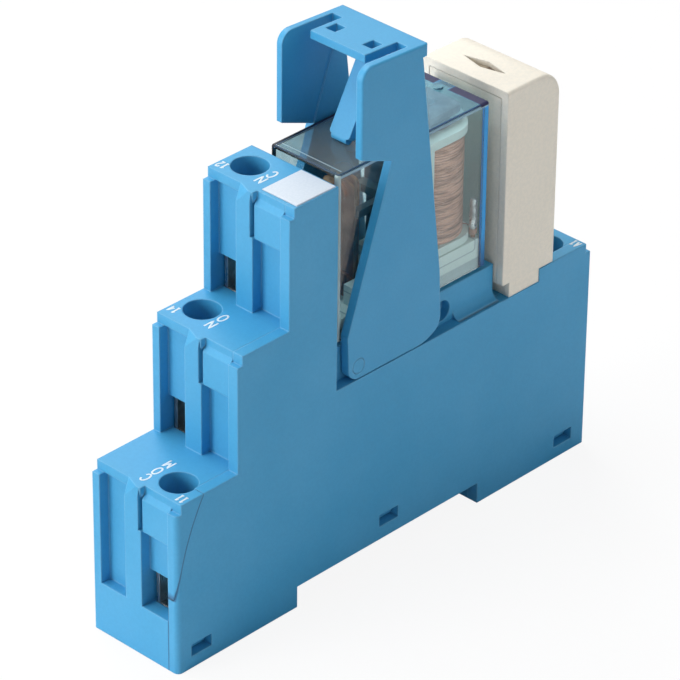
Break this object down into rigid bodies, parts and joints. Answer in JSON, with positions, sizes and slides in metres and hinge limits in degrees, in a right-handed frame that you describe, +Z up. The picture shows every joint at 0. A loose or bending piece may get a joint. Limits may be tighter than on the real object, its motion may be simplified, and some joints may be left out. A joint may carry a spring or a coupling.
{
  "type": "interface relay module",
  "caption": "Slim rail-mounted relay socket with stepped screw terminals, a plug-in relay in a clear cover, a hinged holding clip and a plug-in indicator module.",
  "frame": {"origin": "middle of the feet's plane, under the middle of the socket's length and width", "axes": "+X from the end with three terminal tiers to the coil terminals, +Z up from the feet, the side cover at -Y"},
  "size_m": [0.0804, 0.0158, 0.0773],
  "materials": {
    "socket_blue": "fine matte moulded",
    "clip_blue": "fine matte moulded",
    "tag_white": "smooth",
    "zinc_steel": "bright zinc plate",
    "spring_steel": "drawn wire",
    "contact_brass": "tinned copper alloy",
    "clear_cover": "clear tinted polycarbonate",
    "mint_plastic": "pale moulded",
    "copper_wire": "enamelled copper wire",
    "soft_iron": "nickel-plated iron",
    "beige_plastic": "fine matte moulded",
    "board_green": "solder mask",
    "led_green": "cast resin",
    "lens_clear": "clear moulded",
    "component_dark": "moulded",
    "component_tan": "lacquered"
  },
  "bodies": {
    "root": {"socket_body": "socket_blue", "side_cover": "socket_blue", "marker_tag": "tag_white", "latch_spring": "spring_steel", "strip_com": "contact_brass", "strip_no": "contact_brass", "strip_nc": "contact_brass", "strip_a1": "contact_brass", "strip_a2": "contact_brass", "com_terminal": "contact_brass", "fixed_contact_nc": "contact_brass", "fixed_contact_no": "contact_brass", "coil_pin_a1": "contact_brass", "coil_pin_a2": "contact_brass", "relay_cover": "clear_cover", "relay_base": "mint_plastic", "coil_bobbin": "mint_plastic", "coil_winding": "copper_wire", "coil_core": "soft_iron", "coil_yoke": "soft_iron"},
    "clip": {"retaining_clip": "clip_blue"},
    "latch": {"din_latch": "socket_blue"},
    "armature": {"armature": "soft_iron"},
    "card": {"actuating_card": "mint_plastic"},
    "blade": {"moving_contact": "contact_brass"},
    "module": {"module_pin_a1": "contact_brass", "module_pin_a2": "contact_brass", "module_housing": "beige_plastic", "module_panel": "beige_plastic", "module_base": "beige_plastic", "module_board": "board_green", "module_led": "led_green", "module_lens": "lens_clear", "module_diode": "component_dark", "module_resistor": "component_tan"},
    "screw_com": {"screw_com": "zinc_steel"},
    "cage_com": {"cage_com": "zinc_steel"},
    "screw_no": {"screw_no": "zinc_steel"},
    "cage_no": {"cage_no": "zinc_steel"},
    "screw_nc": {"screw_nc": "zinc_steel"},
    "cage_nc": {"cage_nc": "zinc_steel"},
    "screw_a1": {"screw_a1": "zinc_steel"},
    "cage_a1": {"cage_a1": "zinc_steel"},
    "screw_a2": {"screw_a2": "zinc_steel"},
    "cage_a2": {"cage_a2": "zinc_steel"}
  },
  "joints": [
    {"name": "clip_hinge", "type": "hinge", "parent": "root", "child": "clip", "pos_m": [-0.00625, 0, 0.0331], "axis": [0, -1, 0], "range_deg": [0, 15]},
    {"name": "module_slide", "type": "slide", "parent": "root", "child": "module", "axis": [0, 0, 1], "range_m": [0, 0.0095]},
    {"name": "latch_slide", "type": "slide", "parent": "root", "child": "latch", "axis": [1, 0, 0], "range_m": [0, 0.0024], "stiffness_N_per_m": 150, "springref_m": -0.006, "deforming": ["latch_spring"]},
    {"name": "armature_hinge", "type": "hinge", "parent": "root", "child": "armature", "pos_m": [0.00765, 0, 0.0597], "axis": [0, 1, 0], "range_deg": [0, 3], "stiffness_Nm_per_rad": 0.004, "springref_deg": -17.19},
    {"name": "card_slide", "type": "slide", "parent": "root", "child": "card", "axis": [-1, 0, 0], "range_m": [0, 0.00037158]},
    {"name": "blade_hinge", "type": "hinge", "parent": "root", "child": "blade", "pos_m": [-0.00217, 0, 0.0426], "axis": [0, -1, 0], "range_deg": [0, 2.2]},
    {"name": "screw_com_turn", "type": "hinge", "parent": "root", "child": "screw_com", "pos_m": [-0.03565, -0.00375, 0.02], "axis": [0, 0, -1], "range_deg": [0, 1920]},
    {"name": "cage_com_lift", "type": "slide", "parent": "root", "child": "cage_com", "axis": [0, 0, 1], "range_m": [0, 0.0024]},
    {"name": "screw_no_turn", "type": "hinge", "parent": "root", "child": "screw_no", "pos_m": [-0.02345, 0.00415, 0.02], "axis": [0, 0, -1], "range_deg": [0, 1920]},
    {"name": "cage_no_lift", "type": "slide", "parent": "root", "child": "cage_no", "axis": [0, 0, 1], "range_m": [0, 0.0024]},
    {"name": "screw_nc_turn", "type": "hinge", "parent": "root", "child": "screw_nc", "pos_m": [-0.0146, 0.00415, 0.02], "axis": [0, 0, -1], "range_deg": [0, 1920]},
    {"name": "cage_nc_lift", "type": "slide", "parent": "root", "child": "cage_nc", "axis": [0, 0, 1], "range_m": [0, 0.0024]},
    {"name": "screw_a1_turn", "type": "hinge", "parent": "root", "child": "screw_a1", "pos_m": [0.03525, -0.00375, 0.02], "axis": [0, 0, -1], "range_deg": [0, 1920]},
    {"name": "cage_a1_lift", "type": "slide", "parent": "root", "child": "cage_a1", "axis": [0, 0, 1], "range_m": [0, 0.0024]},
    {"name": "screw_a2_turn", "type": "hinge", "parent": "root", "child": "screw_a2", "pos_m": [0.03525, 0.00375, 0.02], "axis": [0, 0, -1], "range_deg": [0, 1920]},
    {"name": "cage_a2_lift", "type": "slide", "parent": "root", "child": "cage_a2", "axis": [0, 0, 1], "range_m": [0, 0.0024]}
  ],
  "couplings": [
    {"joint": "armature_hinge", "follows": "card_slide", "rad_per_m": 140.91},
    {"joint": "blade_hinge", "follows": "card_slide", "rad_per_m": 100},
    {"joint": "screw_com_turn", "follows": "cage_com_lift", "rad_per_m": 13963},
    {"joint": "screw_no_turn", "follows": "cage_no_lift", "rad_per_m": 13963},
    {"joint": "screw_nc_turn", "follows": "cage_nc_lift", "rad_per_m": 13963},
    {"joint": "screw_a1_turn", "follows": "cage_a1_lift", "rad_per_m": 13963},
    {"joint": "screw_a2_turn", "follows": "cage_a2_lift", "rad_per_m": 13963}
  ]
}
